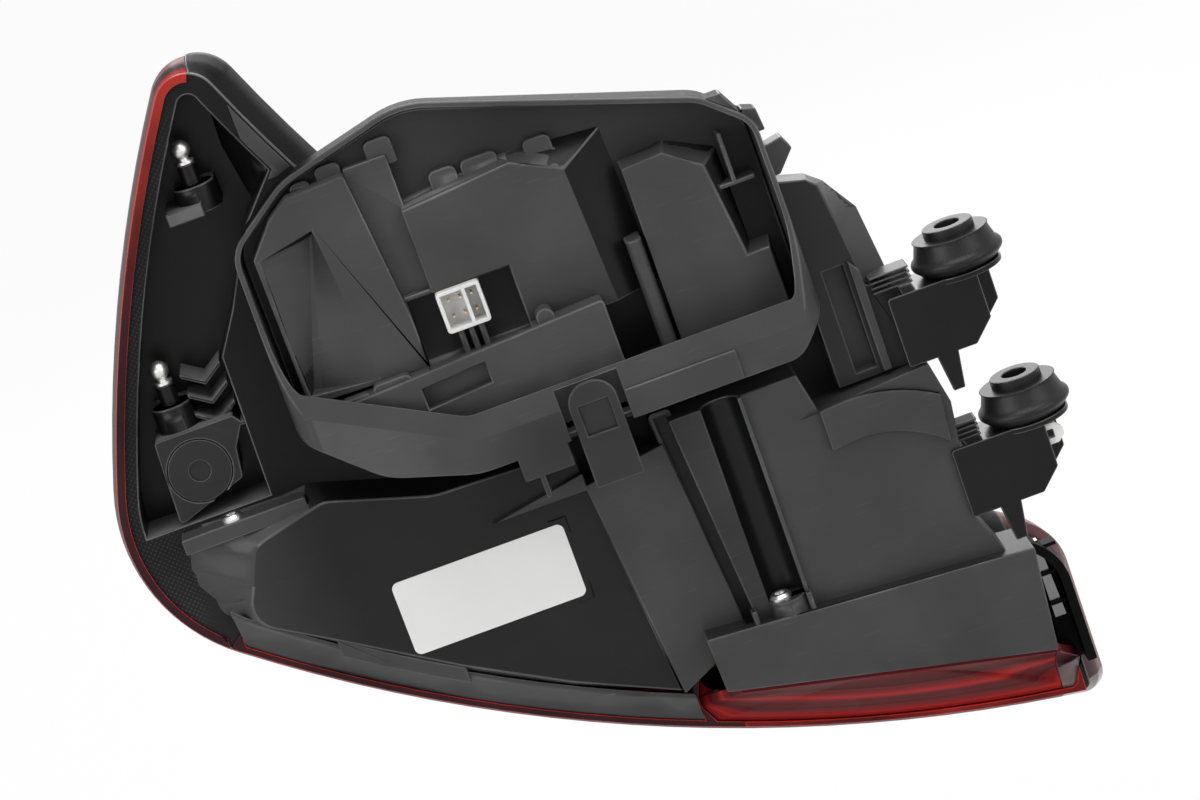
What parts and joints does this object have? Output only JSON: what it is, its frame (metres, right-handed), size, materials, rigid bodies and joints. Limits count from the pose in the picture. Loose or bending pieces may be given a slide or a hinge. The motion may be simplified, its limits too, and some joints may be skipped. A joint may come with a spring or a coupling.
{
  "type": "tail light cluster",
  "caption": "Wraparound car tail lamp seen from its body side: dark moulded housing, red lens, carrier with connector, ball studs and rubber-mounted threaded fixings",
  "frame": {"origin": "centre of the mouth of the lower fixing's thread", "axes": "X along the lamp's long side towards the fixings, Y from the car body side to the lens, Z the way the lamp is pushed onto the car and the way its ball studs and threads point"},
  "size_m": [0.4009, 0.102, 0.4021],
  "materials": {
    "housing_plastic": "satin black moulded plastic",
    "carrier_plastic": "satin dark grey moulded plastic",
    "red_lens": "tinted red acrylic",
    "clear_lens": "smoky clear acrylic",
    "bezel_plastic": "gloss black plastic",
    "label_film": "bare pale grey label film",
    "bracket_plastic": "dark semi-gloss plastic",
    "mount_rubber": "black rubber",
    "steel": "plated steel",
    "stud_metal": "bright plated steel",
    "screw_steel": "dark plated steel",
    "connector_plastic": "natural white nylon",
    "contact_metal": "plated brass",
    "reflector_metal": "metallised plastic",
    "board_laminate": "green laminate",
    "led_body": "pale light source",
    "light_guide": "red clear light guide"
  },
  "bodies": {
    "root": {"bracket_clip": "connector_plastic", "carrier_gasket": "mount_rubber", "channel_screw": "screw_steel", "connector_pins": "contact_metal", "connector_shroud": "connector_plastic", "driver_board": "board_laminate", "end_lens": "clear_lens", "end_reflector": "reflector_metal", "end_trim": "bezel_plastic", "housing": "housing_plastic", "inner_bezel": "bezel_plastic", "label": "label_film", "lamp_carrier": "carrier_plastic", "lower_ball_stud": "stud_metal", "lower_bracket": "bracket_plastic", "lower_rubber_mount": "mount_rubber", "lower_threaded_insert": "steel", "outer_lens": "red_lens", "stop_board": "board_laminate", "stop_leds": "led_body", "stop_reflector": "reflector_metal", "tail_light_guide": "light_guide", "turn_board": "board_laminate", "turn_leds": "led_body", "turn_reflector": "reflector_metal", "upper_ball_stud": "stud_metal", "upper_bracket": "bracket_plastic", "upper_rubber_mount": "mount_rubber", "upper_threaded_insert": "steel", "wing_plug": "bracket_plastic", "wing_screw": "screw_steel"}
  },
  "joints": []
}
